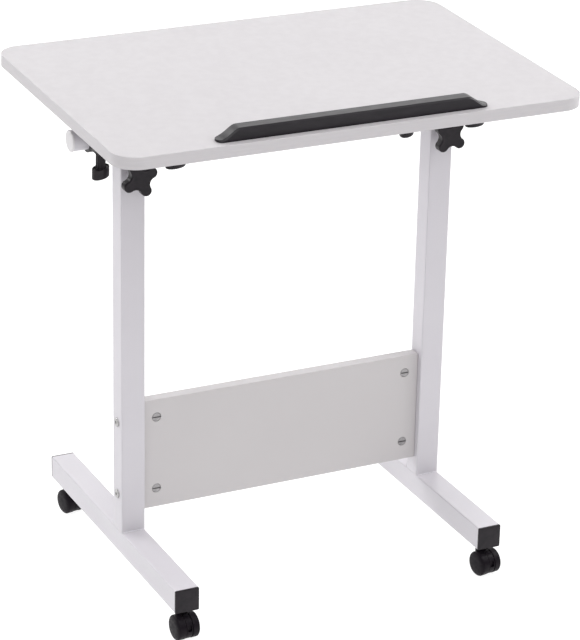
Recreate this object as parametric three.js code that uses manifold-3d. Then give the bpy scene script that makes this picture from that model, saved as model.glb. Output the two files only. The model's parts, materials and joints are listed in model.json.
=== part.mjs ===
// A desk on four casters. Its top tilts about a round crossbar, and two tubes slide up out of the uprights.
// Millimetres, X to the right, Y to the back, Z up. The origin is the middle of the base on the floor.

import * as THREE from 'three';
import * as BufferGeometryUtils from 'three/addons/utils/BufferGeometryUtils.js';
import Module from 'manifold-3d';

const wasm = await Module();
wasm.setup();

// Clearances
const seatGap = 0.3;
const glueGap = 0.1;
const slideGap = 0.25;
const axleGap = 0.15;
const clampGap = 0.8;
const cutOverrun = 2;

// Top board with its glued edge band
const topWidth = 600;
const topDepth = 400;
const topThickness = 15;
const topCornerRadius = 30;
const topSetback = 2;
const bandThickness = 1;
const restTilt = 2;

// Stopper that keeps a book or laptop from sliding off the tilted top
const stopperLength = 347;
const stopperShift = -4;
const stopperDepth = 17;
const stopperHeight = 15;
const stopperInset = 9;
const stopperRampLength = 28;
const rampMiddleShare = 0.56;
const stopperTipHeight = 2.5;
const stopperTipRadius = 7.5;
const stopperEdgeChamfer = 2;
const pegSpacing = 240;
const pegDiameter = 6;
const pegLength = 8;

// Crossbar, which the top turns about
const crossbarEndInset = 21;
const crossbarDiameter = 25;
const crossbarWall = 1.5;
const endCapThickness = 3;
const endCapRim = 0.5;
const endCapChamfer = 1;
const endCapPlugLength = 12;
const endCapPlugWall = 2;

// Clamps between the top and the crossbar
const clampWidth = 22;
const outerClampInset = 50;
const innerClampInset = 145.5;
const bracketHeight = 35.2;
const bracketFlangeThickness = 5;
const bracketFlangeReach = 13;
const clampEarReach = 11;
const bracketRear = 22;
const strapThickness = 3.2;
const strapEarThickness = 8;
const strapHookThickness = 3;
const strapHookHeight = 10;

// Knob under each clamp
const clampStudDiameter = 6;
const clampStudGrip = 14;
const clampHeadLength = 28.4;
const clampHeadWidth = 16.4;
const clampHeadHeight = 12.6;
const clampHeadEdge = 1;
const clampNeckDiameter = 11.8;
const clampNeckLength = 21.2;
const leftOuterTurn = 36;
const leftInnerTurn = 16;
const rightInnerTurn = 46;
const rightOuterTurn = 13;

// Uprights and the tubes that slide in them
const uprightInset = 93;
const uprightWidth = 31;
const uprightDepth = 27.5;
const uprightWall = 1.2;
const uprightLength = 501;
const tubeCornerRadius = 1.6;
const sleeveWall = 0.8;
const sleeveFlange = 2.5;
const sleeveSkirt = 20;
const innerTubeWall = 1.2;
const innerTubeEndClearance = 21;
const liftRestGap = 1;

// Height knobs on the uprights
const heightKnobDrop = 30;
const bossDiameter = 16;
const bossLength = 5;
const heightStudDiameter = 8;
const heightHubDiameter = 15;
const heightHubLength = 8.5;
const heightHeadRadius = 22.7;
const heightHeadWaist = 12.8;
const heightLobeRadius = 6.7;
const heightHeadThickness = 12;
const heightHeadEdge = 1.2;
const leftKnobTurn = 26.5;
const rightKnobTurn = 50.5;

// Foot bars and their end caps
const footWidth = 31;
const footHeight = 30;
const footWall = 1.5;
const footFrontReach = 181;
const footRearReach = 228.5;
const footCapThickness = 3;
const footPlugClearance = 2;
const footPlugWall = 2;

// Lower panel between the uprights, and what bolts it there
const panelHeight = 146;
const panelThickness = 15;
const panelFront = 5.5;
const panelRaise = 24;
const boltSpacing = 97;
const boltRaise = 0.8;
const boltDiameter = 6;
const boltLength = 60;
const boltHeadDiameter = 11.6;
const boltHeadHeight = 2;
const boltSocketAcross = 4;
const boltSocketDepth = 1.3;
const barrelDiameter = 11.5;
const barrelLength = 11;
const barrelInset = 18.7;
const barrelSlotWidth = 1.6;
const barrelSlotDepth = 1.5;

// Casters
const casterHeight = 39.5;
const casterInset = 20;
const casterTrail = 9.5;
const wheelDiameter = 32;
const wheelWidth = 11;
const wheelDomeWidth = 3.5;
const wheelDomeDrop = 8.3;
const wheelBoreDepth = 5.5;
const wheelSideGap = 0.6;
const webWidth = 8;
const webRecess = 0.4;
const webNotchWidth = 5.5;
const webNotchHeight = 8;
const webNotchDepth = 2.5;
const webNotchRaise = 2.5;
const wheelRoom = 1;
const axleDiameter = 4;
const collarDiameter = 14;
const stemDiameter = 8;
const stemLength = 14;
const frontLeftSwivel = 3.5;
const frontRightSwivel = 8.5;
const rearLeftSwivel = 10;
const rearRightSwivel = 8;

// Facets on the round shapes
const cornerSteps = 2;
const topCornerSteps = 6;
const boreSteps = 12;
const roundSteps = 24;
const barSteps = 32;
const rampSteps = 10;
const domeSteps = 5;
const starSteps = 3;
const ovalSteps = 12;
const starLobes = 4;

// Places that follow from the sizes
const tiltRadians = THREE.MathUtils.degToRad(restTilt);
const crossbarLength = topWidth - 2 * crossbarEndInset;
const outerClampX = topWidth / 2 - outerClampInset;
const innerClampX = topWidth / 2 - innerClampInset;
const uprightX = topWidth / 2 - uprightInset;
const footUnderside = casterHeight;
const footTop = footUnderside + footHeight;
const uprightTop = footTop + uprightLength;
const crossbarRadius = crossbarDiameter / 2;
const crossbarZ = uprightTop + sleeveFlange + liftRestGap + crossbarRadius;
const boardSeat = bracketHeight + seatGap;
const boardReach = boardSeat + topThickness;
const topFrontReach =
	(topDepth / 2 - topSetback) * Math.cos(tiltRadians) + boardReach * Math.sin(tiltRadians);
const uprightY = (topFrontReach - footRearReach) / 2;
const sleeveOuterInset = uprightWall + slideGap;
const sleeveInnerInset = sleeveOuterInset + sleeveWall;
const innerTubeInset = sleeveInnerInset + slideGap;
const innerTubeDepth = uprightDepth - 2 * innerTubeInset;
const panelBottom = footTop + panelRaise;
const boltMiddle = panelBottom + panelHeight / 2 + boltRaise;
const boltHeights = [-1, 1].map((sign) => boltMiddle + sign * boltSpacing / 2);
const innerTubeEnd = Math.max(...boltHeights) + boltDiameter / 2 + innerTubeEndClearance;
const innerTubeLength = crossbarZ - innerTubeEnd;
const innerFaceX = uprightX - uprightWidth / 2;
const outerFaceX = uprightX + uprightWidth / 2;
const panelWidth = 2 * (innerFaceX - seatGap);
const barrelX = panelWidth / 2 - barrelInset;
const heightKnobZ = uprightTop - heightKnobDrop;
const grooveRadius = crossbarRadius + seatGap;
const strapRadius = grooveRadius + strapThickness;
const strapTurn = Math.asin(strapEarThickness / strapRadius);
const clampStudY = strapRadius * Math.cos(strapTurn) + seatGap + clampNeckDiameter / 2;
const bracketFront = clampStudY + clampEarReach;
const footPlugLength = casterInset - stemDiameter / 2 - footPlugClearance - footCapThickness;
const wheelRadius = wheelDiameter / 2;
const wheelCentre = webWidth / 2 + wheelSideGap;

// Materials
function finish(color, roughness, metalness) {
	return new THREE.MeshStandardMaterial({ color, roughness, metalness });
}

const laminate = finish(0xe8e4e7, 0.45, 0);
const edging = finish(0xdcd9dc, 0.5, 0);
const whitePaint = finish(0xdedade, 0.4, 0);
const whitePlastic = finish(0xe2dfe2, 0.5, 0);
const blackPlastic = finish(0x2c2a2d, 0.5, 0);
const blackNylon = finish(0x302e31, 0.45, 0);
const zinc = finish(0x9c9a9b, 0.35, 1);

// Axes for shapes that are drawn flat and then extruded
const alongX = new THREE.Matrix4().makeBasis(
	new THREE.Vector3(0, 1, 0),
	new THREE.Vector3(0, 0, 1),
	new THREE.Vector3(1, 0, 0),
);
const towardFront = new THREE.Matrix4().makeBasis(
	new THREE.Vector3(1, 0, 0),
	new THREE.Vector3(0, 0, 1),
	new THREE.Vector3(0, -1, 0),
);

function solidOf(geometry) {
	const bare = geometry.clone();
	bare.deleteAttribute('normal');
	bare.deleteAttribute('uv');
	const merged = BufferGeometryUtils.mergeVertices(bare);
	const vertProperties = new Float32Array(merged.attributes.position.array);
	const triVerts = new Uint32Array(merged.index.array);
	return new wasm.Manifold(new wasm.Mesh({ numProp: 3, vertProperties, triVerts }));
}

function geometryOf(solid) {
	const mesh = solid.getMesh();
	const geometry = new THREE.BufferGeometry();
	geometry.setAttribute('position', new THREE.BufferAttribute(new Float32Array(mesh.vertProperties), 3));
	geometry.setIndex(new THREE.BufferAttribute(new Uint32Array(mesh.triVerts), 1));
	geometry.computeVertexNormals();
	return geometry;
}

function cutFrom(geometry, cutters) {
	let solid = solidOf(geometry);
	for (const cutter of cutters) {
		solid = solid.subtract(solidOf(cutter));
	}
	return geometryOf(solid);
}

function joined(geometries) {
	let solid = solidOf(geometries[0]);
	for (const geometry of geometries.slice(1)) {
		solid = solid.add(solidOf(geometry));
	}
	return geometryOf(solid);
}

// A rectangle with round corners, centred on the origin
function roundedRectangle(width, height, radius) {
	const x = width / 2;
	const y = height / 2;
	const shape = new THREE.Shape();
	shape.moveTo(-x + radius, -y);
	shape.lineTo(x - radius, -y);
	shape.absarc(x - radius, -y + radius, radius, -Math.PI / 2, 0, false);
	shape.lineTo(x, y - radius);
	shape.absarc(x - radius, y - radius, radius, 0, Math.PI / 2, false);
	shape.lineTo(-x + radius, y);
	shape.absarc(-x + radius, y - radius, radius, Math.PI / 2, Math.PI, false);
	shape.lineTo(-x, -y + radius);
	shape.absarc(-x + radius, -y + radius, radius, Math.PI, 1.5 * Math.PI, false);
	return shape;
}

function extrude(shape, depth, curveSegments = cornerSteps) {
	return new THREE.ExtrudeGeometry(shape, { depth, curveSegments, bevelEnabled: false });
}

// A rectangular tube along Z, its outside and inside each given as width, depth and corner radius
function boxTube(outside, inside, length) {
	const shape = roundedRectangle(...outside);
	shape.holes.push(roundedRectangle(...inside));
	return extrude(shape, length);
}

// A cylinder from the origin along Z
function rodZ(diameter, length, steps = roundSteps) {
	const rod = new THREE.CylinderGeometry(diameter / 2, diameter / 2, length, steps);
	return rod.rotateX(Math.PI / 2).translate(0, 0, length / 2);
}

// A cylinder centred on the origin along X
function rodX(diameter, length, steps = roundSteps) {
	const rod = new THREE.CylinderGeometry(diameter / 2, diameter / 2, length, steps);
	return rod.rotateZ(-Math.PI / 2);
}

// A cylinder from the origin toward the front
function rodFront(diameter, length, steps = roundSteps) {
	const rod = new THREE.CylinderGeometry(diameter / 2, diameter / 2, length, steps);
	return rod.translate(0, -length / 2, 0);
}

// Outline of a lobed knob: round lobes, and between them hollows that are tangent to both
function starShape(outerRadius, waistRadius, lobeRadius) {
	const half = Math.PI / starLobes;
	const lobeCentre = outerRadius - lobeRadius;
	const nearness = lobeCentre * Math.cos(half);
	const excess = lobeRadius ** 2 - lobeCentre ** 2 - waistRadius ** 2 + 2 * nearness * waistRadius;
	const hollowRadius = excess / (2 * (waistRadius - nearness - lobeRadius));
	const hollowCentre = waistRadius + hollowRadius;
	const sweep = Math.atan2(
		hollowCentre * Math.sin(half),
		hollowCentre * Math.cos(half) - lobeCentre,
	);
	const shape = new THREE.Shape();
	for (let lobe = 0; lobe < starLobes; lobe += 1) {
		const angle = 2 * half * lobe;
		const lobeX = lobeCentre * Math.cos(angle);
		const lobeY = lobeCentre * Math.sin(angle);
		shape.absarc(lobeX, lobeY, lobeRadius, angle - sweep, angle + sweep, false);
		const hollowX = hollowCentre * Math.cos(angle + half);
		const hollowY = hollowCentre * Math.sin(angle + half);
		const start = angle + sweep + Math.PI;
		const end = angle + 2 * half - sweep + Math.PI;
		shape.absarc(hollowX, hollowY, hollowRadius, start, end, true);
	}
	return shape;
}

// A knob's head from its outline, chamfered at both ends
function knobHead(shape, thickness, edge, curveSegments) {
	const geometry = new THREE.ExtrudeGeometry(shape, {
		depth: thickness - 2 * edge,
		curveSegments,
		bevelThickness: edge,
		bevelSize: edge,
		bevelOffset: -edge,
		bevelSegments: 1,
	});
	return geometry.translate(0, 0, edge);
}

function piece(name, geometry, material, position = [0, 0, 0]) {
	const mesh = new THREE.Mesh(geometry, material);
	mesh.name = name;
	mesh.position.set(...position);
	return mesh;
}

const sides = [
	{ side: 'left', sign: -1, knobTurn: leftKnobTurn },
	{ side: 'right', sign: 1, knobTurn: rightKnobTurn },
];

// Top board, drawn with its underside at height 0
function boardShape(margin) {
	return roundedRectangle(topWidth - 2 * margin, topDepth - 2 * margin, topCornerRadius - margin);
}

function boardGeometry() {
	const board = extrude(boardShape(bandThickness + glueGap), topThickness, topCornerSteps);
	const pegHoles = pegPlaces().map(([x, y]) => {
		const hole = rodZ(pegDiameter + 2 * seatGap, pegLength + seatGap + cutOverrun, boreSteps);
		return hole.translate(x, y, topThickness - pegLength - seatGap);
	});
	return cutFrom(board, pegHoles);
}

function edgeBandGeometry() {
	const shape = boardShape(0);
	shape.holes.push(boardShape(bandThickness));
	return extrude(shape, topThickness, topCornerSteps);
}

function stopperMiddleY() {
	return -topDepth / 2 + stopperInset + stopperDepth / 2;
}

function pegPlaces() {
	return sides.map(({ sign }) => [stopperShift + sign * pegSpacing / 2, stopperMiddleY()]);
}

// What is cut off above the left ramp: the ramp is an S-curve from the thin tip up to the level middle
function rampCutter() {
	const points = [new THREE.Vector2(-stopperLength / 2 - cutOverrun, stopperTipHeight)];
	const rise = stopperHeight - stopperTipHeight;
	const lean = Math.log(0.5) / Math.log(rampMiddleShare);
	for (let step = 0; step <= rampSteps; step += 1) {
		const along = step / rampSteps;
		const height = stopperTipHeight + rise * (1 - Math.cos(Math.PI * along ** lean)) / 2;
		points.push(new THREE.Vector2(-stopperLength / 2 + stopperRampLength * along, height));
	}
	points.push(new THREE.Vector2(-stopperLength / 2 + stopperRampLength, stopperHeight + cutOverrun));
	points.push(new THREE.Vector2(-stopperLength / 2 - cutOverrun, stopperHeight + cutOverrun));
	const cutter = extrude(new THREE.Shape(points), stopperDepth + 2 * cutOverrun);
	return cutter.applyMatrix4(towardFront).translate(0, stopperDepth / 2 + cutOverrun, 0);
}

// The stopper's upper front arris is cut back at 45 degrees
function arrisCutter() {
	const reach = stopperEdgeChamfer * Math.SQRT2;
	const cutter = new THREE.BoxGeometry(stopperLength + cutOverrun, reach, reach);
	return cutter.rotateX(Math.PI / 4).translate(0, -stopperDepth / 2, stopperHeight);
}

// Stopper with tips that are round in plan, drawn with its underside at height 0, and its pegs below
function stopperGeometry() {
	const plan = roundedRectangle(stopperLength, stopperDepth, stopperTipRadius);
	const block = extrude(plan, stopperHeight, topCornerSteps);
	const body = cutFrom(block, [rampCutter(), rampCutter().rotateZ(Math.PI), arrisCutter()]);
	body.translate(stopperShift, stopperMiddleY(), 0);
	const pegs = pegPlaces().map(([x, y]) => {
		const peg = rodZ(pegDiameter, pegLength + stopperTipHeight, boreSteps);
		return peg.translate(x, y, -pegLength);
	});
	return joined([body, ...pegs]);
}

// Side view of a clamp bracket, drawn about the crossbar's axis with the board at the top
function bracketGeometry() {
	const low = clampGap / 2;
	const lip = Math.asin(low / grooveRadius);
	const flangeUnderside = bracketHeight - bracketFlangeThickness;
	const shape = new THREE.Shape();
	shape.moveTo(bracketRear + bracketFlangeReach, bracketHeight);
	shape.lineTo(-bracketFront - bracketFlangeReach, bracketHeight);
	shape.lineTo(-bracketFront - bracketFlangeReach, flangeUnderside);
	shape.lineTo(-bracketFront, flangeUnderside);
	shape.lineTo(-bracketFront, low);
	shape.lineTo(-grooveRadius * Math.cos(lip), low);
	shape.absarc(0, 0, grooveRadius, Math.PI - lip, lip, true);
	shape.lineTo(bracketRear, low);
	shape.lineTo(bracketRear, flangeUnderside);
	shape.lineTo(bracketRear + bracketFlangeReach, flangeUnderside);
	const block = extrude(shape, clampWidth, boreSteps).applyMatrix4(alongX).translate(-clampWidth / 2, 0, 0);
	const hole = rodZ(clampStudDiameter + 2 * seatGap, clampStudGrip + seatGap + cutOverrun, boreSteps);
	return cutFrom(block, [hole.translate(0, -clampStudY, low - cutOverrun)]);
}

// Side view of a clamp strap, which passes under the crossbar and hooks behind the bracket
function strapGeometry() {
	const high = -clampGap / 2;
	const lip = Math.asin(-high / grooveRadius);
	const under = -strapEarThickness;
	const hookFront = bracketRear + seatGap;
	const hookRear = hookFront + strapHookThickness;
	const shape = new THREE.Shape();
	shape.moveTo(-bracketFront, high);
	shape.lineTo(-bracketFront, under);
	shape.lineTo(-strapRadius * Math.cos(strapTurn), under);
	shape.absarc(0, 0, strapRadius, Math.PI + strapTurn, 2 * Math.PI - strapTurn, false);
	shape.lineTo(hookRear, under);
	shape.lineTo(hookRear, strapHookHeight);
	shape.lineTo(hookFront, strapHookHeight);
	shape.lineTo(hookFront, high);
	shape.lineTo(grooveRadius * Math.cos(lip), high);
	shape.absarc(0, 0, grooveRadius, -lip, -Math.PI + lip, true);
	const block = extrude(shape, clampWidth, boreSteps).applyMatrix4(alongX).translate(-clampWidth / 2, 0, 0);
	const hole = rodZ(clampStudDiameter + 2 * seatGap, strapEarThickness + 2 * cutOverrun, boreSteps);
	return cutFrom(block, [hole.translate(0, -clampStudY, under - cutOverrun)]);
}

// Knob with a threaded stud, drawn from the strap's underside at height 0: neck and oval head hang below
function clampKnobGeometry(turn) {
	const studLength = strapEarThickness + clampGap / 2 + clampStudGrip;
	const oval = new THREE.Shape();
	oval.absellipse(0, 0, clampHeadLength / 2, clampHeadWidth / 2, 0, 2 * Math.PI, false, 0);
	const head = knobHead(oval, clampHeadHeight, clampHeadEdge, ovalSteps);
	head.rotateZ(THREE.MathUtils.degToRad(turn));
	head.translate(0, 0, -clampNeckLength - clampHeadHeight);
	const neckOverlap = clampHeadHeight / 2;
	const neck = rodZ(clampNeckDiameter, clampNeckLength - seatGap + neckOverlap);
	neck.translate(0, 0, -clampNeckLength - neckOverlap);
	const stud = rodZ(clampStudDiameter, studLength + neckOverlap, boreSteps);
	stud.translate(0, 0, -neckOverlap);
	return joined([head, neck, stud]);
}

const clamps = [
	{ name: 'left_outer', x: -outerClampX, turn: leftOuterTurn },
	{ name: 'left_inner', x: -innerClampX, turn: leftInnerTurn },
	{ name: 'right_inner', x: innerClampX, turn: rightInnerTurn },
	{ name: 'right_outer', x: outerClampX, turn: rightOuterTurn },
];

// What turns with the top: board, stopper and clamps, drawn about the crossbar's axis
function tiltingTop() {
	const group = new THREE.Group();
	group.position.set(0, uprightY, crossbarZ);
	group.rotation.x = tiltRadians;
	group.add(piece('tabletop', boardGeometry(), laminate, [0, topSetback, boardSeat]));
	group.add(piece('edge_band', edgeBandGeometry(), edging, [0, topSetback, boardSeat]));
	group.add(piece('stopper', stopperGeometry(), blackPlastic, [0, topSetback, boardReach + seatGap]));
	for (const { name, x, turn } of clamps) {
		const knobPlace = [x, -clampStudY, -strapEarThickness];
		group.add(piece(`clamp_bracket_${name}`, bracketGeometry(), blackPlastic, [x, 0, 0]));
		group.add(piece(`clamp_strap_${name}`, strapGeometry(), blackPlastic, [x, 0, 0]));
		group.add(piece(`clamp_knob_${name}`, clampKnobGeometry(turn), blackPlastic, knobPlace));
	}
	return group;
}

function crossbarGeometry() {
	const inner = crossbarRadius - crossbarWall;
	const half = crossbarLength / 2;
	const profile = [
		[inner, -half],
		[crossbarRadius, -half],
		[crossbarRadius, half],
		[inner, half],
		[inner, -half],
	].map(([r, y]) => new THREE.Vector2(r, y));
	return new THREE.LatheGeometry(profile, barSteps).rotateZ(-Math.PI / 2);
}

// End cap with a hollow plug, drawn with its flange's outer face at height 0 and the plug above it
function crossbarCapGeometry() {
	const rim = crossbarRadius + endCapRim;
	const plug = crossbarRadius - crossbarWall - seatGap;
	const end = endCapThickness + endCapPlugLength;
	const profile = [
		[0, 0],
		[rim - endCapChamfer, 0],
		[rim, endCapChamfer],
		[rim, endCapThickness],
		[plug, endCapThickness],
		[plug, end],
		[plug - endCapPlugWall, end],
		[plug - endCapPlugWall, endCapThickness],
		[0, endCapThickness],
	].map(([r, y]) => new THREE.Vector2(r, y));
	return new THREE.LatheGeometry(profile, barSteps);
}

// Sliding tube, notched at the top to the crossbar's round
function innerTubeGeometry() {
	const width = uprightWidth - 2 * innerTubeInset;
	const radius = tubeCornerRadius - innerTubeInset / 2;
	const bore = [width - 2 * innerTubeWall, innerTubeDepth - 2 * innerTubeWall, radius / 2];
	const tube = boxTube([width, innerTubeDepth, radius], bore, innerTubeLength);
	tube.translate(0, 0, -innerTubeLength);
	return cutFrom(tube, [rodX(crossbarDiameter + 2 * seatGap, uprightWidth + cutOverrun, barSteps)]);
}

// What slides up and down: crossbar, its caps and the two sliding tubes
function liftingFrame() {
	const group = new THREE.Group();
	group.position.set(0, uprightY, crossbarZ);
	group.add(piece('crossbar', crossbarGeometry(), whitePaint));
	for (const { side, sign } of sides) {
		const cap = crossbarCapGeometry().rotateZ(sign * Math.PI / 2);
		const capX = sign * (crossbarLength / 2 + endCapThickness);
		group.add(piece(`crossbar_cap_${side}`, cap, whitePlastic, [capX, 0, 0]));
		group.add(piece(`inner_tube_${side}`, innerTubeGeometry(), whitePaint, [sign * uprightX, 0, 0]));
	}
	return group;
}

function uprightGeometry() {
	const bore = [uprightWidth - 2 * uprightWall, uprightDepth - 2 * uprightWall, tubeCornerRadius - uprightWall];
	const tube = boxTube([uprightWidth, uprightDepth, tubeCornerRadius], bore, uprightLength);
	const boltHoles = boltHeights.map((height) => {
		const hole = rodX(boltDiameter + 2 * seatGap, uprightWidth + cutOverrun, boreSteps);
		return hole.translate(0, 0, height - footTop);
	});
	const knobHole = rodFront(heightStudDiameter + 2 * seatGap, uprightDepth / 2 + cutOverrun, boreSteps);
	knobHole.translate(0, 0, heightKnobZ - footTop);
	return cutFrom(tube, [...boltHoles, knobHole]);
}

// Plastic guide in the mouth of an upright, drawn with the mouth at height 0
function sleeveGeometry() {
	const hole = [
		uprightWidth - 2 * sleeveInnerInset,
		uprightDepth - 2 * sleeveInnerInset,
		tubeCornerRadius - sleeveInnerInset / 2,
	];
	const skirt = [
		uprightWidth - 2 * sleeveOuterInset,
		uprightDepth - 2 * sleeveOuterInset,
		tubeCornerRadius - sleeveOuterInset / 2,
	];
	const flange = boxTube([uprightWidth, uprightDepth, tubeCornerRadius], hole, sleeveFlange);
	const wall = boxTube(skirt, hole, sleeveSkirt + sleeveFlange / 2).translate(0, 0, -sleeveSkirt);
	return joined([flange, wall]);
}

// Threaded boss on the upright's front face, drawn with that face at depth 0
function bossGeometry() {
	const bore = heightStudDiameter / 2 + seatGap;
	const profile = [
		[bore, -bossLength],
		[bossDiameter / 2, -bossLength],
		[bossDiameter / 2, 0],
		[bore, 0],
		[bore, -bossLength],
	].map(([r, y]) => new THREE.Vector2(r, y));
	return new THREE.LatheGeometry(profile, roundSteps);
}

// Star knob with hub and stud, drawn with the boss's front face at depth 0
function heightKnobGeometry(turn) {
	const star = starShape(heightHeadRadius, heightHeadWaist, heightLobeRadius);
	const head = knobHead(star, heightHeadThickness, heightHeadEdge, starSteps);
	head.rotateZ(THREE.MathUtils.degToRad(turn)).applyMatrix4(towardFront);
	head.translate(0, -heightHubLength, 0);
	const overlap = heightHeadThickness / 2;
	const hub = rodFront(heightHubDiameter, heightHubLength - seatGap + overlap).translate(0, -seatGap, 0);
	const tubeFace = bossLength + innerTubeInset - seatGap;
	const stud = rodFront(heightStudDiameter, tubeFace + heightHubLength, boreSteps);
	stud.translate(0, tubeFace, 0);
	return joined([head, hub, stud]);
}

function footBarGeometry() {
	const length = footFrontReach + footRearReach - 2 * footCapThickness;
	const bore = [footWidth - 2 * footWall, footHeight - 2 * footWall, tubeCornerRadius - footWall];
	const bar = boxTube([footWidth, footHeight, tubeCornerRadius], bore, length).applyMatrix4(towardFront);
	bar.translate(0, footRearReach - footCapThickness, footHeight / 2);
	const holes = casterPlaces.map(({ y }) => {
		const hole = rodZ(stemDiameter + 2 * seatGap, footHeight / 2, boreSteps);
		return hole.translate(0, y, -footHeight / 4);
	});
	return cutFrom(bar, holes);
}

// Foot cap with its outer face at depth 0 and a hollow plug behind it
function footCapGeometry() {
	const corner = tubeCornerRadius - footWall;
	const plug = [footWidth, footHeight].map((size) => size - 2 * (footWall + seatGap));
	const hollow = plug.map((size) => size - 2 * footPlugWall);
	const flange = extrude(roundedRectangle(footWidth, footHeight, tubeCornerRadius), footCapThickness);
	const wallLength = footPlugLength + footCapThickness / 2;
	const wall = boxTube([...plug, corner], [...hollow, corner / 2], wallLength);
	wall.translate(0, 0, footCapThickness / 2);
	return joined([flange, wall]);
}

function panelGeometry() {
	const board = new THREE.BoxGeometry(panelWidth, panelThickness, panelHeight);
	board.translate(0, panelThickness / 2 - panelFront, panelBottom + panelHeight / 2);
	const cuts = [];
	const boreReach = boltLength - uprightWidth + seatGap + cutOverrun;
	for (const { sign } of sides) {
		for (const height of boltHeights) {
			const pocketLength = barrelLength + seatGap + cutOverrun;
			const pocket = rodFront(barrelDiameter + 2 * seatGap, pocketLength, boreSteps);
			cuts.push(pocket.translate(sign * barrelX, barrelLength - panelFront + seatGap, height));
			const bore = rodX(boltDiameter + 2 * seatGap, boreReach, boreSteps);
			cuts.push(bore.translate(sign * (innerFaceX + cutOverrun - boreReach / 2), 0, height));
		}
	}
	return cutFrom(board, cuts);
}

// Cross dowel with a screwdriver slot in its front face and a cross hole for the bolt
function barrelNutGeometry() {
	const barrel = rodFront(barrelDiameter, barrelLength, boreSteps);
	barrel.translate(0, barrelLength - panelFront, 0);
	const crossHole = rodX(boltDiameter + 2 * seatGap, barrelDiameter + cutOverrun, boreSteps);
	const slot = new THREE.BoxGeometry(barrelDiameter + cutOverrun, 2 * barrelSlotDepth, barrelSlotWidth);
	return cutFrom(barrel, [crossHole, slot.translate(0, -panelFront, 0)]);
}

// Bolt with a hexagon socket, drawn with the underside of its head at 0 and the shank along X
function panelBoltGeometry() {
	const head = rodX(boltHeadDiameter, boltHeadHeight).translate(boltHeadHeight / 2, 0, 0);
	const overlap = (boltHeadHeight - boltSocketDepth) / 2;
	const shank = rodX(boltDiameter, boltLength + overlap, boreSteps);
	shank.translate((overlap - boltLength) / 2, 0, 0);
	const socket = rodX(boltSocketAcross / Math.cos(Math.PI / 6), 2 * boltSocketDepth, 6);
	return cutFrom(joined([head, shank]), [socket.translate(boltHeadHeight, 0, 0)]);
}

// Casters stand under the foot bars, one near each end
const casterPlaces = [
	{ end: 'front', y: casterInset - footFrontReach },
	{ end: 'rear', y: footRearReach - casterInset },
];
const casterSwivels = {
	front_left: frontLeftSwivel,
	front_right: frontRightSwivel,
	rear_left: rearLeftSwivel,
	rear_right: rearRightSwivel,
};

// Caster body: a round web between the wheels with a pocket in its front, a collar above it and a stem
function casterHoodGeometry() {
	const webRadius = wheelRadius - webRecess;
	const web = rodX(2 * webRadius, webWidth).translate(0, -casterTrail, wheelRadius);
	const collar = rodZ(collarDiameter, casterHeight - seatGap - wheelRadius).translate(0, 0, wheelRadius);
	const room = rodX(2 * (wheelRadius + wheelRoom), collarDiameter + cutOverrun);
	room.translate(0, -casterTrail, wheelRadius);
	const stem = rodZ(stemDiameter, stemLength + casterHeight - wheelRadius, boreSteps);
	stem.translate(0, 0, wheelRadius);
	const body = joined([cutFrom(collar, [room]), stem, web]);
	const notch = new THREE.BoxGeometry(webNotchWidth, 2 * webNotchDepth, webNotchHeight);
	const axleHole = rodX(axleDiameter + 2 * axleGap, webWidth + cutOverrun, boreSteps);
	return cutFrom(body, [
		notch.translate(0, -casterTrail - webRadius, wheelRadius + webNotchRaise),
		axleHole.translate(0, -casterTrail, wheelRadius),
	]);
}

// Wheel with a blind bore, drawn with its inner face at 0 and its domed outer face along X
function casterWheelGeometry() {
	const bore = axleDiameter / 2 + axleGap;
	const points = [[0, wheelBoreDepth], [bore, wheelBoreDepth], [bore, 0], [wheelRadius, 0]];
	for (let step = 0; step <= domeSteps; step += 1) {
		const angle = (Math.PI / 2) * (step / domeSteps);
		const radius = wheelRadius - wheelDomeDrop * (1 - Math.cos(angle));
		points.push([radius, wheelWidth - wheelDomeWidth * (1 - Math.sin(angle))]);
	}
	points.push([0, wheelWidth]);
	const profile = points.map(([r, y]) => new THREE.Vector2(r, y));
	return new THREE.LatheGeometry(profile, roundSteps).rotateZ(-Math.PI / 2).rotateX(Math.PI / 2);
}

function caster(name, x, y) {
	const group = new THREE.Group();
	group.position.set(x, y, 0);
	group.rotation.z = THREE.MathUtils.degToRad(casterSwivels[name]);
	const axleLength = 2 * (wheelCentre + wheelBoreDepth - axleGap);
	const axle = rodX(axleDiameter, axleLength, boreSteps);
	group.add(piece(`caster_hood_${name}`, casterHoodGeometry(), blackNylon));
	group.add(piece(`caster_axle_${name}`, axle, zinc, [0, -casterTrail, wheelRadius]));
	for (const [place, turn, offset] of [['a', Math.PI, -wheelCentre], ['b', 0, wheelCentre]]) {
		const wheel = casterWheelGeometry().rotateZ(turn);
		const wheelPlace = [offset, -casterTrail, wheelRadius];
		group.add(piece(`caster_wheel_${name}_${place}`, wheel, blackNylon, wheelPlace));
	}
	return group;
}

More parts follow.
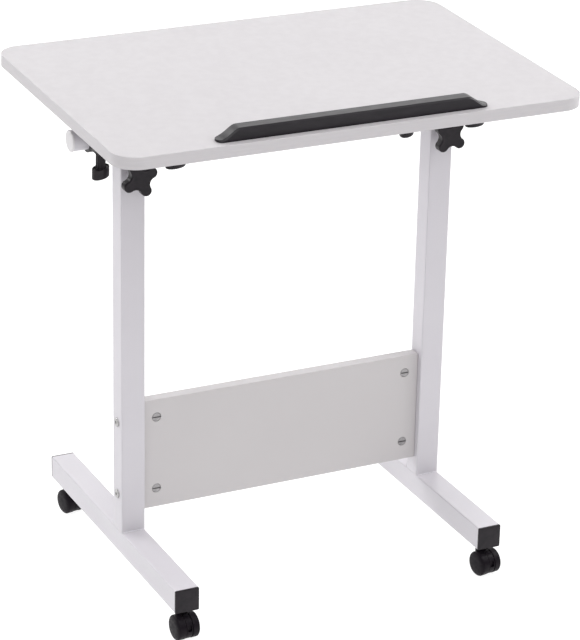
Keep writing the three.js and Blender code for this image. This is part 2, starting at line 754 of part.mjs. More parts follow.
// One side of the base: upright, guide, boss, knob, bolts, foot bar, caps and casters
function baseSide({ side, sign, knobTurn }) {
	const group = new THREE.Group();
	const x = sign * uprightX;
	const frontFace = -uprightDepth / 2;
	const knobPlace = [x, frontFace - bossLength, heightKnobZ];
	group.add(piece(`upright_${side}`, uprightGeometry(), whitePaint, [x, 0, footTop]));
	group.add(piece(`guide_sleeve_${side}`, sleeveGeometry(), blackPlastic, [x, 0, uprightTop]));
	group.add(piece(`knob_boss_${side}`, bossGeometry(), whitePaint, [x, frontFace, heightKnobZ]));
	group.add(piece(`height_knob_${side}`, heightKnobGeometry(knobTurn), blackPlastic, knobPlace));
	group.add(piece(`foot_bar_${side}`, footBarGeometry(), whitePaint, [x, 0, footUnderside]));
	const capZ = footUnderside + footHeight / 2;
	const frontCap = footCapGeometry().rotateX(-Math.PI / 2);
	const rearCap = footCapGeometry().rotateX(Math.PI / 2);
	group.add(piece(`foot_cap_front_${side}`, frontCap, blackPlastic, [x, -footFrontReach, capZ]));
	group.add(piece(`foot_cap_rear_${side}`, rearCap, blackPlastic, [x, footRearReach, capZ]));
	boltHeights.forEach((height, index) => {
		const level = ['lower', 'upper'][index];
		const bolt = panelBoltGeometry().rotateZ(sign > 0 ? 0 : Math.PI);
		const nutPlace = [sign * barrelX, 0, height];
		group.add(piece(`panel_bolt_${level}_${side}`, bolt, zinc, [sign * outerFaceX, 0, height]));
		group.add(piece(`barrel_nut_${level}_${side}`, barrelNutGeometry(), zinc, nutPlace));
	});
	for (const { end, y } of casterPlaces) {
		group.add(caster(`${end}_${side}`, x, y));
	}
	return group;
}

function base() {
	const group = new THREE.Group();
	group.position.set(0, uprightY, 0);
	group.add(piece('lower_panel', panelGeometry(), laminate));
	for (const entry of sides) {
		group.add(baseSide(entry));
	}
	return group;
}

const desk = new THREE.Group();
desk.add(base());
desk.add(liftingFrame());
desk.add(tiltingTop());

export default desk;
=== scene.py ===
# A rolling desk with a tilting top, dressed for a plain studio. Metres, X to the right, Y to the back, Z up.

import json
import math

import bmesh
import bpy
from mathutils import Matrix, Vector


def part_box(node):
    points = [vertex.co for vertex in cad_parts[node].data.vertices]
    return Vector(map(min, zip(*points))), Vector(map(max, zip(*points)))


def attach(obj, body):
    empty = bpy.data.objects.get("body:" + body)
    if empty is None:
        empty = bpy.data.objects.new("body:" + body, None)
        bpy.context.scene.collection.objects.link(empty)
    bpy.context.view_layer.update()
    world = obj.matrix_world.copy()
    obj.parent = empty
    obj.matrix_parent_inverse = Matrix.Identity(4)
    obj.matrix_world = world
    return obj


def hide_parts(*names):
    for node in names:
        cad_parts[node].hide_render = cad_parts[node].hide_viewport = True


# Camera, in the frame of the desk
CAMERA_PLACE = (-1.3860, -2.8502, 1.6349)
CAMERA_YAW = math.radians(26.21)
CAMERA_PITCH = math.radians(22.69)
CAMERA_ROLL = math.radians(1.28)
FOCAL_PIXELS = 2752.0
FRAME_PIXELS = 640
SENSOR_MM = 36

# Fineness of round shapes, and the edges that are smoothed or rounded
CORNER_STEPS = 8
BOARD_CORNER_STEPS = 24
PANEL_CORNER_STEPS = 2
ARRIS_STEPS = 4
ROUND_STEPS = 64
ROD_STEPS = 48
BEAD_STEPS = 16
STAR_LOBES = 4
STAR_ARC_STEPS = 16
HEXAGON_SIDES = 6
CORNERS_ACROSS = 2.2
BORE_CORNER_SHARE = 0.25
SMOOTH_ANGLE = math.radians(38)
BEVEL_ANGLE = math.radians(35)
BEVEL_SEGMENTS = 3

# Top board, its edge band and the stopper
TOP_WIDTH = 0.600
TOP_DEPTH = 0.400
TOP_THICKNESS = 0.015
TOP_CORNER_RADIUS = 0.030
TOP_SETBACK = 0.002
BAND_THICKNESS = 0.001
BAND_ARRIS = 0.0007
GLUE_GAP = 0.0001
SEAT_GAP = 0.0003
STOPPER_LENGTH = 0.347
STOPPER_SHIFT = -0.004
STOPPER_DEPTH = 0.017
STOPPER_HEIGHT = 0.015
STOPPER_INSET = 0.009
STOPPER_RAMP = 0.028
RAMP_MIDDLE_SHARE = 0.56
STOPPER_TIP = 0.0025
STOPPER_FRONT_CHAMFER = 0.002
STOPPER_SOFT_EDGE = 0.0003
STOPPER_REAR_ARRIS = 0.0009
STOPPER_PLAN_RADIUS = 0.0075
STOPPER_STEPS = 24
STOPPER_STEP_POWER = 1.6
CHAMFER_LIMIT_SHARE = 0.5
SOFT_LIMIT_SHARE = 0.25
SOFT_CHORD_SHARE = 0.3
ARRIS_LIMIT_SHARE = 0.3

# Crossbar and its caps
BAR_RADIUS = 0.0125
BAR_WALL = 0.0015
CAP_RIM = 0.0005
CAP_THICKNESS = 0.003
CAP_PLUG = 0.012
CAP_ARRIS = 0.0012
CAP_CROWN = 0.0005
CAP_RIBS = 30
CAP_RIB_STEPS = 8
CAP_RIB_DEPTH = 0.00025
CAP_FACE_SHARES = (0.1, 0.4, 0.7, 0.9)

# Clamps, drawn about the crossbar's axis
CLAMP_WIDTH = 0.022
CLAMP_ARRIS = 0.0006
CLAMP_GAP = 0.0008
BRACKET_HEIGHT = 0.0352
BRACKET_FLANGE = 0.005
BRACKET_FLANGE_REACH = 0.013
BRACKET_REAR = 0.022
EAR_REACH = 0.011
STRAP_THICKNESS = 0.0032
STRAP_EAR = 0.008
STRAP_HOOK = 0.003
STRAP_HOOK_HEIGHT = 0.010
SCREW_RADIUS = 0.0035
SCREW_HEIGHT = 0.0016
SCREW_ARRIS_SHARE = 0.7
SLOT_LENGTH_SHARE = 1.1
SLOT_WIDTH_SHARE = 0.28

# Knob under each clamp, and how far its head is turned in degrees
STUD_RADIUS = 0.003
STUD_GRIP = 0.014
NECK_RADIUS = 0.0059
NECK_LENGTH = 0.0212
NECK_FLUTES = 12
NECK_FLUTE_STEPS = 8
NECK_FLUTE_DEPTH = 0.0009
NECK_FLARE = 0.0012
NECK_FLARE_HEIGHT = 0.005
NECK_FLARE_SHARES = (0.0, 0.25, 0.5, 0.75, 1.0)
NECK_FLARE_POWER = 2.5
CLAMP_HEAD_LENGTH = 0.0284
CLAMP_HEAD_WIDTH = 0.0164
CLAMP_HEAD_HEIGHT = 0.0126
CLAMP_HEAD_RIM = 0.0014
CLAMP_HEAD_RECESS = 0.0011
CLAMP_HEAD_ARRIS = 0.0012
CLAMP_HEAD_TURNS = {"left_outer": 36, "left_inner": 16, "right_inner": 46, "right_outer": 13}

# Uprights, sliding tubes and their guides
TUBE_CORNER_RADIUS = 0.0016
UPRIGHT_WALL = 0.0012
SLIDE_GAP = 0.00025
SLEEVE_WALL = 0.0008
SLEEVE_FLANGE = 0.0025
SLEEVE_ARRIS = 0.0006

# Weld beads
WELD_RADIUS = 0.0013
BAR_WELD_RADIUS = 0.00091
BEAD_SHARES = (0, 0.03, 0.1, 0.2, 0.3, 0.4, 0.5, 0.6, 0.7, 0.8, 0.9, 0.97, 1)
BEAD_TAPER_SHARE = 0.1
BEAD_TIP_SHARE = 0.25

# Height knobs. The head's three sizes are the reach of its lobes and of its hollows, and a lobe's radius.
BOSS_ARRIS = 0.0006
HEIGHT_HEAD = (0.0227, 0.0128, 0.0067)
HEIGHT_HEAD_THICKNESS = 0.012
HEIGHT_HEAD_ARRIS = 0.0016
HEIGHT_DISH_RIM = 0.00256
HEIGHT_DISH_INSET = 0.0032
HEIGHT_DISH_DEPTH = 0.0004
HEIGHT_HUB_RADIUS = 0.0075
HEIGHT_STUD_RADIUS = 0.004
LEFT_KNOB_TURN = math.radians(26.5)
RIGHT_KNOB_TURN = math.radians(50.5)

# Foot bars and their caps
FOOT_WALL = 0.0015
FOOT_CAP = 0.003
FOOT_CAP_ARRIS = 0.0009
FOOT_CAP_CROWN = 0.0004
FOOT_CROWN_SHARES = (0.15, 0.3, 0.45)

# Lower panel and its bolts
PANEL_ARRIS = 0.0006
BARREL_RADIUS = 0.00575
BARREL_ARRIS = 0.0004
BARREL_SLOT_WIDTH = 0.0016
BARREL_SLOT_DEPTH = 0.0015
BOLT_RADIUS = 0.003
BOLT_HEAD_RADIUS = 0.0058
BOLT_HEAD_HEIGHT = 0.002
BOLT_ARRIS_SHARE = 0.6
BOLT_SOCKET_RADIUS = 0.0023
BOLT_SOCKET_DEPTH = 0.0013

# Casters
WHEEL_RADIUS = 0.016
WHEEL_DOME_WIDTH = 0.0035
WHEEL_DOME_DROP = 0.0083
WHEEL_DOME_STEPS = 12
WHEEL_HUB_SHARE = 0.3
WHEEL_FACE_SHARES = (0.8, 0.55, 0.3, 0.1)
WHEEL_FACE_CROWN = 0.0003
WHEEL_INNER_ARRIS = 0.0005
WEB_WIDTH = 0.008
WEB_RECESS = 0.0004
WEB_ARRIS = 0.0006
POCKET_WIDTH = 0.0055
POCKET_HEIGHT = 0.008
POCKET_INSET = 0.0025
POCKET_RAISE = 0.0025
POCKET_CORNER = 0.0018
WHEEL_ROOM = 0.001
WHEEL_ROOM_WIDTH = 0.032
COLLAR_RADIUS = 0.007
STEM_RADIUS = 0.004
STEM_LENGTH = 0.014
AXLE_RADIUS = 0.002
AXLE_GAP = 0.00015
AXLE_BORE_LENGTH = 0.016

# Surfaces: the height of each one's bumps, the part of a noise's range that is used, and zinc's tones
MELAMINE_GRAIN = 0.000012
MELAMINE_WAVES = 0.000010
EDGE_GRAIN = 0.000012
PAINT_GRAIN = 0.000005
PAINT_WAVES = 0.000008
WELD_RIPPLES = 0.00018
WHITE_GRAIN = 0.000012
BLACK_GRAIN = 0.000030
BLACK_WAVES = 0.000012
SATIN_GRAIN = 0.000008
NYLON_GRAIN = 0.000016
ZINC_GRAIN = 0.000012
NOISE_SPAN = (0.35, 0.65)
BRIGHT_ZINC_TONES = ((0.45, 0.445, 0.445), (0.40, 0.395, 0.395), (0.50, 0.495, 0.495))
DULL_ZINC_TONES = ((0.31, 0.30, 0.305), (0.26, 0.25, 0.255), (0.36, 0.35, 0.355))

# Studio: where each softbox stands, how wide it is and its power
STUDIO_COLOUR = (0.22, 0.22, 0.22)
STUDIO_ROUGHNESS = (0.6, 0.55, 0.65)
STUDIO_NOISE = (20, 2)
STUDIO_LIGHT_COLOUR = (1.0, 1.0, 1.0, 1.0)
FLOOR_GLOW = 0.93
FLOOR_REACH = 12.0
BACKDROP_GLOW = 0.97
BACKDROP_REACH = 11.5
BACKDROP_HEIGHT = 16.0
BACKDROP_SIDES = 64
HORIZON_STRENGTH = 0.25
ZENITH_STRENGTH = 0.1
HORIZON_RISE = 0.45
ZENITH_RISE = 0.75
STUDIO_TARGET_HEIGHT = 0.35
SOFTBOXES = {
    "overhead": ((-0.8, -0.9, 3.2), 2.6, 38),
    "front left": ((-1.8, -2.2, 2.6), 2.2, 22),
    "front": ((0.2, -3.2, 2.0), 2.2, 14),
    "high front right": ((1.3, -1.5, 3.0), 1.8, 9),
    "right": ((3.0, -0.5, 2.4), 2.2, 84),
    "rear left": ((-2.2, 2.6, 2.4), 2.2, 82),
    "rear right": ((1.9, 3.4, 2.2), 3.0, 42),
    "rear": ((-0.5, 3.3, 2.2), 2.4, 24),
}

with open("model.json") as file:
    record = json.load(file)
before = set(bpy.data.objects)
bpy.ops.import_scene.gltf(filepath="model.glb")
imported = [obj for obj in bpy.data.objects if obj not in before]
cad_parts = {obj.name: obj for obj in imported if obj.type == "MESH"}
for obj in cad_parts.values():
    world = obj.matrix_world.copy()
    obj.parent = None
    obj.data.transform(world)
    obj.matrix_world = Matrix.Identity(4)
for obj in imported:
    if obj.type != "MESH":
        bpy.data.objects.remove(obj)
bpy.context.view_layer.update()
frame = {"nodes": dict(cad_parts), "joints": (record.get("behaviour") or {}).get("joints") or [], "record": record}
record = frame["record"]
joints = {joint["name"]: joint for joint in frame["joints"]}
body_of = {node: body for body, nodes in record["behaviour"]["bodies"].items() for node in nodes}

# The top's own frame: its origin on the crossbar's axis, turned to the top's slope at rest
surface_normal = Vector(record["mounts"][0]["axis"])
rest_tilt = math.atan2(-surface_normal.y, surface_normal.z)
top_place = Matrix.Translation(joints["top_tilt"]["pos_m"]) @ Matrix.Rotation(rest_tilt, 4, "X")

# Points about the crossbar's axis that the clamps share
groove_radius = BAR_RADIUS + SEAT_GAP
strap_radius = groove_radius + STRAP_THICKNESS
strap_turn = math.asin(STRAP_EAR / strap_radius)
stud_y = strap_radius * math.cos(strap_turn) + SEAT_GAP + NECK_RADIUS
bracket_front = stud_y + EAR_REACH
board_seat = BRACKET_HEIGHT + SEAT_GAP
stopper_seat = board_seat + TOP_THICKNESS + SEAT_GAP

# Turns that lay a shape drawn upwards along X, or with its top to the front
along_x = Matrix.Rotation(math.pi / 2, 4, "Y")
to_front = Matrix.Rotation(math.pi / 2, 4, "X")


# Mesh helpers

def loft(rows, ring=False):
    """A mesh skinned over rows of as many points each. Its ends are closed, or meet where it is a ring."""
    mesh = bmesh.new()
    rows = [[mesh.verts.new(point) for point in row] for row in rows]
    for low, high in zip(rows, rows[1:] + rows[:1] if ring else rows[1:]):
        for index in range(len(low)):
            after = (index + 1) % len(low)
            mesh.faces.new((low[index], low[after], high[after], high[index]))
    if not ring:
        mesh.faces.new(rows[0][::-1])
        mesh.faces.new(rows[-1])
    bmesh.ops.recalc_face_normals(mesh, faces=mesh.faces)
    return mesh


def at_height(outline, z):
    """Flat points lifted to a height."""
    return [(x, y, z) for x, y in outline]


def rounded(width, depth, radius, steps=CORNER_STEPS):
    """A rectangle with round corners about the origin."""
    radius = min(radius, width / CORNERS_ACROSS, depth / CORNERS_ACROSS)
    points = []
    for corner, (side, end) in enumerate([(1, -1), (1, 1), (-1, 1), (-1, -1)]):
        for step in range(steps + 1):
            angle = (corner - 1 + step / steps) * math.pi / 2
            x = side * (width / 2 - radius) + radius * math.cos(angle)
            y = end * (depth / 2 - radius) + radius * math.sin(angle)
            points.append((x, y))
    return points


def circle(radius, steps=ROUND_STEPS, ripples=0, ripple=0.0):
    """A circle about the origin, whose edge may ripple inwards."""
    points = []
    for step in range(steps):
        angle = 2 * math.pi * step / steps
        reach = radius - ripple * (1 - math.cos(ripples * angle)) / 2
        points.append((reach * math.cos(angle), reach * math.sin(angle)))
    return points


def star(sizes, inset, turn):
    """A knob's outline: round lobes, joined by hollows that are tangent to both."""
    waist, lobe = (size - inset for size in sizes[1:])
    half = math.pi / STAR_LOBES
    centre = sizes[0] - sizes[2]
    nearness = centre * math.cos(half)
    excess = lobe ** 2 - centre ** 2 - waist ** 2 + 2 * nearness * waist
    hollow = excess / (2 * (waist - nearness - lobe))
    hollow_centre = waist + hollow
    sweep = math.atan2(hollow_centre * math.sin(half), hollow_centre * math.cos(half) - centre)
    points = []
    for index in range(STAR_LOBES):
        angle = turn + 2 * half * index
        facing = angle + math.pi
        for distance, reach, way, start, end in (
            (centre, lobe, angle, angle - sweep, angle + sweep),
            (hollow_centre, hollow, angle + half, facing + sweep, facing + 2 * half - sweep),
        ):
            for step in range(STAR_ARC_STEPS):
                bearing = start + (end - start) * step / STAR_ARC_STEPS
                x = distance * math.cos(way) + reach * math.cos(bearing)
                y = distance * math.sin(way) + reach * math.sin(bearing)
                points.append((x, y))
    return points


def arris(radius, steps=ARRIS_STEPS):
    """How far in from the side and from the end each row of a rounded edge lies, side first."""
    angles = [math.pi / 2 * step / steps for step in range(steps + 1)]
    return [(radius * (1 - math.cos(angle)), radius * (1 - math.sin(angle))) for angle in angles]


def slab(outline_at, low, high, edge):
    """A solid between two heights with rounded edges. outline_at gives its outline for an inset."""
    rim = arris(edge)
    rows = [at_height(outline_at(inset), low + rise) for inset, rise in reversed(rim)]
    rows += [at_height(outline_at(inset), high - rise) for inset, rise in rim]
    return loft(rows)


def box_tube(width, depth, radius, wall, low, high):
    """A rectangular tube along Z."""
    outside = rounded(width, depth, radius)
    bore = rounded(width - 2 * wall, depth - 2 * wall, max(radius - wall, radius * BORE_CORNER_SHARE))
    rows = [at_height(bore, low), at_height(outside, low), at_height(outside, high), at_height(bore, high)]
    return loft(rows, ring=True)


def rod(radius, length, place):
    """A plain cylinder along its own Z, put in place."""
    outline = circle(radius, ROD_STEPS)
    mesh = loft([at_height(outline, 0.0), at_height(outline, length)])
    bmesh.ops.transform(mesh, matrix=place, verts=mesh.verts)
    return mesh


def side_profile(outline, width):
    """An outline of Y and Z points made into a solid across X."""
    half = width / 2
    return loft([[(x, y, z) for y, z in outline] for x in (-half, half)])


def arc(radius, start, end):
    """Points about the origin from one angle to another, both included."""
    steps = 2 * CORNER_STEPS
    angles = [start + (end - start) * step / steps for step in range(steps + 1)]
    return [(radius * math.cos(angle), radius * math.sin(angle)) for angle in angles]


def finished(mesh, name):
    """The mesh data of a built shape, smooth except at its sharp edges."""
    data = bpy.data.meshes.new(name)
    mesh.to_mesh(data)
    mesh.free()
    data.shade_smooth()
    data.set_sharp_from_angle(angle=SMOOTH_ANGLE)
    return data


def place_object(name, mesh, material, place):
    piece = bpy.data.objects.new(name, mesh)
    bpy.context.scene.collection.objects.link(piece)
    piece.matrix_world = place
    piece.data.materials.clear()
    piece.data.materials.append(material)
    piece.modifiers.new("even normals", "WEIGHTED_NORMAL").keep_sharp = True
    return piece


def stand_for(node, mesh, material, place=Matrix()):
    """Shows a finer mesh in place of a node of the frame."""
    data = mesh if isinstance(mesh, bpy.types.Mesh) else finished(mesh, node)
    piece = place_object(node + "_fine", data, material, place)
    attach(piece, body_of[node])
    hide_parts(node)
    return piece


def add_on(name, mesh, material, beside, place=Matrix()):
    """Adds a small piece that moves with a node of the frame."""
    data = mesh if isinstance(mesh, bpy.types.Mesh) else finished(mesh, name)
    piece = place_object(name, data, material, place)
    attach(piece, body_of[beside])


def round_edges(piece, width):
    edge = piece.modifiers.new("rounded edges", "BEVEL")
    edge.width = width
    edge.segments = BEVEL_SEGMENTS
    edge.limit_method = "ANGLE"
    edge.angle_limit = BEVEL_ANGLE
    piece.modifiers.move(len(piece.modifiers) - 1, 0)


def combined(mesh, other, operation):
    """Two built shapes joined, or the first without the second."""
    objects = []
    for shape in (mesh, other):
        piece = bpy.data.objects.new("shape", finished(shape, "shape"))
        bpy.context.scene.collection.objects.link(piece)
        objects.append(piece)
    step = objects[0].modifiers.new("combine", "BOOLEAN")
    step.object = objects[1]
    step.operation = operation
    step.solver = "EXACT"
    depsgraph = bpy.context.evaluated_depsgraph_get()
    data = bpy.data.meshes.new_from_object(objects[0].evaluated_get(depsgraph))
    result = bmesh.new()
    result.from_mesh(data)
    bpy.data.meshes.remove(data)
    for piece in objects:
        bpy.data.objects.remove(piece)
    return result


def cut(mesh, cutters):
    """A built shape with other built shapes taken out of it, as mesh data."""
    for cutter in cutters:
        mesh = combined(mesh, cutter, "DIFFERENCE")
    return finished(mesh, "cut body")


def low_corner(node):
    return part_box(node)[0]


def high_corner(node):
    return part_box(node)[1]


def middle(node):
    return (low_corner(node) + high_corner(node)) / 2


def span(node):
    return high_corner(node) - low_corner(node)


# Materials

def new_material(name, colour, roughness, metallic=0.0, gloss=0.5):
    material = bpy.data.materials.new(name)
    material.use_nodes = True
    shader = material.node_tree.nodes["Principled BSDF"]
    shader.inputs["Base Color"].default_value = (*colour, 1.0)
    shader.inputs["Roughness"].default_value = roughness
    shader.inputs["Metallic"].default_value = metallic
    shader.inputs["Specular IOR Level"].default_value = gloss
    return material, shader


def noise(material, scale, detail, stretch=(1, 1, 1)):
    """A noise node in the object's own coordinates. Its scale is in features to the metre."""
    tree = material.node_tree
    places = tree.nodes.new("ShaderNodeTexCoord")
    mapping = tree.nodes.new("ShaderNodeMapping")
    mapping.inputs["Scale"].default_value = stretch
    texture = tree.nodes.new("ShaderNodeTexNoise")
    texture.inputs["Scale"].default_value = scale
    texture.inputs["Detail"].default_value = detail
    tree.links.new(places.outputs["Object"], mapping.inputs["Vector"])
    tree.links.new(mapping.outputs["Vector"], texture.inputs["Vector"])
    return texture


def tint(material, shader, texture, dark, light):
    """Lets a texture swing the colour between two tones."""
    tree = material.node_tree
    ramp = tree.nodes.new("ShaderNodeValToRGB")
    for stop, place, tone in zip(ramp.color_ramp.elements, NOISE_SPAN, (dark, light)):
        stop.position = place
        stop.color = (*tone, 1.0)
    tree.links.new(texture.outputs["Fac"], ramp.inputs["Fac"])
    tree.links.new(ramp.outputs["Color"], shader.inputs["Base Color"])


def roughen(material, shader, texture, least, most):
    """Lets a texture swing the roughness between two values."""
    tree = material.node_tree
    ranged = tree.nodes.new("ShaderNodeMapRange")
    ranged.inputs["From Min"].default_value = NOISE_SPAN[0]
    ranged.inputs["From Max"].default_value = NOISE_SPAN[1]
    ranged.inputs["To Min"].default_value = least
    ranged.inputs["To Max"].default_value = most
    tree.links.new(texture.outputs["Fac"], ranged.inputs["Value"])
    tree.links.new(ranged.outputs["Result"], shader.inputs["Roughness"])


def emboss(material, shader, relief):
    """Stacks bumps, each given by its height and its noise."""
    tree = material.node_tree
    below = None
    for height, *grain in relief:
        bump = tree.nodes.new("ShaderNodeBump")
        bump.inputs["Strength"].default_value = 1.0
        bump.inputs["Distance"].default_value = height
        tree.links.new(noise(material, *grain).outputs["Fac"], bump.inputs["Height"])
        if below:
            tree.links.new(below.outputs["Normal"], bump.inputs["Normal"])
        below = bump
    tree.links.new(below.outputs["Normal"], shader.inputs["Normal"])


def surface(name, tones, roughness, patches, relief, scuffs=None, **shine):
    """A material. Its tones and roughness give the usual one, then the two that a noise swings between."""
    usual_tone, dark, light = tones
    usual, least, most = roughness
    material, shader = new_material(name, usual_tone, usual, **shine)
    tint(material, shader, noise(material, *patches), dark, light)
    if scuffs:
        roughen(material, shader, noise(material, *scuffs), least, most)
    emboss(material, shader, relief)
    return material


def melamine():
    return surface(
        "white melamine",
        tones=((0.488, 0.468, 0.483), (0.484, 0.464, 0.479), (0.492, 0.472, 0.487)),
        roughness=(0.42, 0.36, 0.48),
        patches=(6, 3),
        scuffs=(90, 4),
        relief=[(MELAMINE_GRAIN, 1400, 2), (MELAMINE_WAVES, 260, 2)],
    )


def panel_melamine():
    return surface(
        "panel melamine",
        tones=((0.543, 0.520, 0.527), (0.538, 0.515, 0.522), (0.548, 0.525, 0.532)),
        roughness=(0.44, 0.38, 0.50),
        patches=(9, 3),
        scuffs=(90, 4),
        relief=[(MELAMINE_GRAIN, 1400, 2), (MELAMINE_WAVES, 260, 2)],
    )


def edge_plastic():
    """The band's plastic, streaked along the board's edge."""
    return surface(
        "edge band plastic",
        tones=((0.515, 0.495, 0.511), (0.504, 0.484, 0.500), (0.526, 0.506, 0.522)),
        roughness=(0.45, 0.40, 0.52),
        patches=(30, 3, (1, 1, 12)),
        scuffs=(400, 2, (1, 1, 6)),
        relief=[(EDGE_GRAIN, 900, 2, (1, 1, 5))],
    )


def powder_coat():
    return surface(
        "white powder coat",
        tones=((0.595, 0.574, 0.611), (0.585, 0.564, 0.601), (0.605, 0.584, 0.621)),
        roughness=(0.33, 0.30, 0.38),
        patches=(12, 3),
        scuffs=(220, 3),
        relief=[(PAINT_GRAIN, 900, 1), (PAINT_WAVES, 260, 1)],
    )


def weld_paint():
    """Paint over a weld bead, rippled across it and evenly rough."""
    return surface(
        "paint over weld",
        tones=((0.64, 0.62, 0.66), (0.59, 0.57, 0.61), (0.68, 0.66, 0.70)),
        roughness=(0.34, 0.34, 0.34),
        patches=(500, 2),
        relief=[(WELD_RIPPLES, 900, 2, (1, 0.2, 0.2))],
    )


def white_plastic():
    return surface(
        "white moulded plastic",
        tones=((0.645, 0.629, 0.641), (0.633, 0.617, 0.629), (0.657, 0.641, 0.653)),
        roughness=(0.40, 0.34, 0.46),
        patches=(60, 3),
        scuffs=(500, 3),
        relief=[(WHITE_GRAIN, 1800, 2)],
    )


def black_plastic():
    return surface(
        "black moulded plastic",
        tones=((0.010, 0.007, 0.010), (0.009, 0.007, 0.010), (0.016, 0.012, 0.016)),
        roughness=(0.38, 0.34, 0.46),
        patches=(140, 4),
        scuffs=(600, 3),
        relief=[(BLACK_GRAIN, 2600, 2), (BLACK_WAVES, 500, 2)],
        gloss=0.26,
    )


def satin_plastic():
    """The stopper's smoother black plastic, drawn along its length."""
    drawn = (0.15, 1, 1)
    return surface(
        "satin black plastic",
        tones=((0.010, 0.007, 0.010), (0.007, 0.005, 0.008), (0.013, 0.010, 0.014)),
        roughness=(0.34, 0.30, 0.40),
        patches=(160, 4, drawn),
        scuffs=(500, 3, drawn),
        relief=[(SATIN_GRAIN, 1500, 2, drawn)],
        gloss=0.33,
    )


def caster_nylon():
    return surface(
        "black caster nylon",
        tones=((0.007, 0.004, 0.007), (0.005, 0.003, 0.006), (0.010, 0.007, 0.010)),
        roughness=(0.38, 0.34, 0.55),
        patches=(180, 4),
        scuffs=(300, 4),
        relief=[(NYLON_GRAIN, 1500, 2)],
        gloss=0.12,
    )


def zinc_plate(name, tones):
    return surface(
        name,
        tones,
        roughness=(0.36, 0.30, 0.44),
        patches=(300, 3),
        scuffs=(900, 3),
        relief=[(ZINC_GRAIN, 1800, 2)],
        metallic=1.0,
    )


materials = {
    "laminate": melamine(),
    "edging": edge_plastic(),
    "white_paint": powder_coat(),
    "white_plastic": white_plastic(),
    "black_plastic": black_plastic(),
    "black_nylon": caster_nylon(),
    "zinc": zinc_plate("zinc plate", BRIGHT_ZINC_TONES),
}
dull_zinc = zinc_plate("dull zinc", DULL_ZINC_TONES)
panel_laminate = panel_melamine()
weld = weld_paint()
satin_black = satin_plastic()


# Tilting top

def board_outline(inset):
    width = TOP_WIDTH - 2 * inset
    depth = TOP_DEPTH - 2 * inset
    return rounded(width, depth, TOP_CORNER_RADIUS - inset, BOARD_CORNER_STEPS)


def make_board():
    margin = BAND_THICKNESS + GLUE_GAP
    board = slab(lambda inset: board_outline(margin + inset), 0.0, TOP_THICKNESS, GLUE_GAP)
    place = top_place @ Matrix.Translation((0, TOP_SETBACK, board_seat))
    stand_for("tabletop", board, materials["laminate"], place)


def make_edge_band():
    rim = arris(BAND_ARRIS)
    inner = board_outline(BAND_THICKNESS)
    rows = [at_height(board_outline(inset), rise) for inset, rise in reversed(rim)]
    rows += [at_height(board_outline(inset), TOP_THICKNESS - rise) for inset, rise in rim]
    band = loft([at_height(inner, 0.0), *rows, at_height(inner, TOP_THICKNESS)], ring=True)
    place = top_place @ Matrix.Translation((0, TOP_SETBACK, board_seat))
    stand_for("edge_band", band, materials["edging"], place)


def stopper_section(x):
    """Front to back, one slice of the stopper: it sinks along its ramps and is round in plan at its tips."""
    from_tip = STOPPER_LENGTH / 2 - abs(x)
    lean = -math.log(2) / math.log(RAMP_MIDDLE_SHARE)
    along = min(from_tip / STOPPER_RAMP, 1.0) ** lean
    height = STOPPER_TIP + (STOPPER_HEIGHT - STOPPER_TIP) * (1 - math.cos(math.pi * along)) / 2
    short = max(STOPPER_PLAN_RADIUS - from_tip, 0.0)
    narrow = STOPPER_PLAN_RADIUS - math.sqrt(STOPPER_PLAN_RADIUS ** 2 - short ** 2)
    front = narrow - STOPPER_DEPTH / 2
    rear = STOPPER_DEPTH / 2 - narrow
    chamfer = min(STOPPER_FRONT_CHAMFER, height * CHAMFER_LIMIT_SHARE)
    soft = min(STOPPER_SOFT_EDGE, chamfer * SOFT_LIMIT_SHARE)
    chord = soft * SOFT_CHORD_SHARE
    rear_edge = min(STOPPER_REAR_ARRIS, height * ARRIS_LIMIT_SHARE)
    points = [
        (front, 0.0),
        (front, height - chamfer - soft),
        (front + chord, height - chamfer + chord),
        (front + chamfer - chord, height - chord),
        (front + chamfer + soft, height),
    ]
    points += [(rear - inset, height - rise) for inset, rise in reversed(arris(rear_edge))]
    points.append((rear, 0.0))
    return [(x, y, z) for y, z in points]


def make_stopper():
    half = STOPPER_LENGTH / 2
    shares = [step / STOPPER_STEPS for step in range(STOPPER_STEPS + 1)]
    ramp = [half - STOPPER_RAMP * share ** STOPPER_STEP_POWER for share in shares]
    stations = [-x for x in ramp] + ramp[::-1]
    y = TOP_SETBACK - TOP_DEPTH / 2 + STOPPER_INSET + STOPPER_DEPTH / 2
    place = top_place @ Matrix.Translation((STOPPER_SHIFT, y, stopper_seat))
    stand_for("stopper", loft([stopper_section(x) for x in stations]), satin_black, place)


def bracket_outline():
    """Side view of a bracket, drawn about the crossbar with the board above."""
    low = CLAMP_GAP / 2
    lip = math.asin(low / groove_radius)
    flange = BRACKET_HEIGHT - BRACKET_FLANGE
    return [
        (BRACKET_REAR + BRACKET_FLANGE_REACH, BRACKET_HEIGHT),
        (-bracket_front - BRACKET_FLANGE_REACH, BRACKET_HEIGHT),
        (-bracket_front - BRACKET_FLANGE_REACH, flange),
        (-bracket_front, flange),
        (-bracket_front, low),
        *arc(groove_radius, math.pi - lip, lip),
        (BRACKET_REAR, low),
        (BRACKET_REAR, flange),
        (BRACKET_REAR + BRACKET_FLANGE_REACH, flange),
    ]


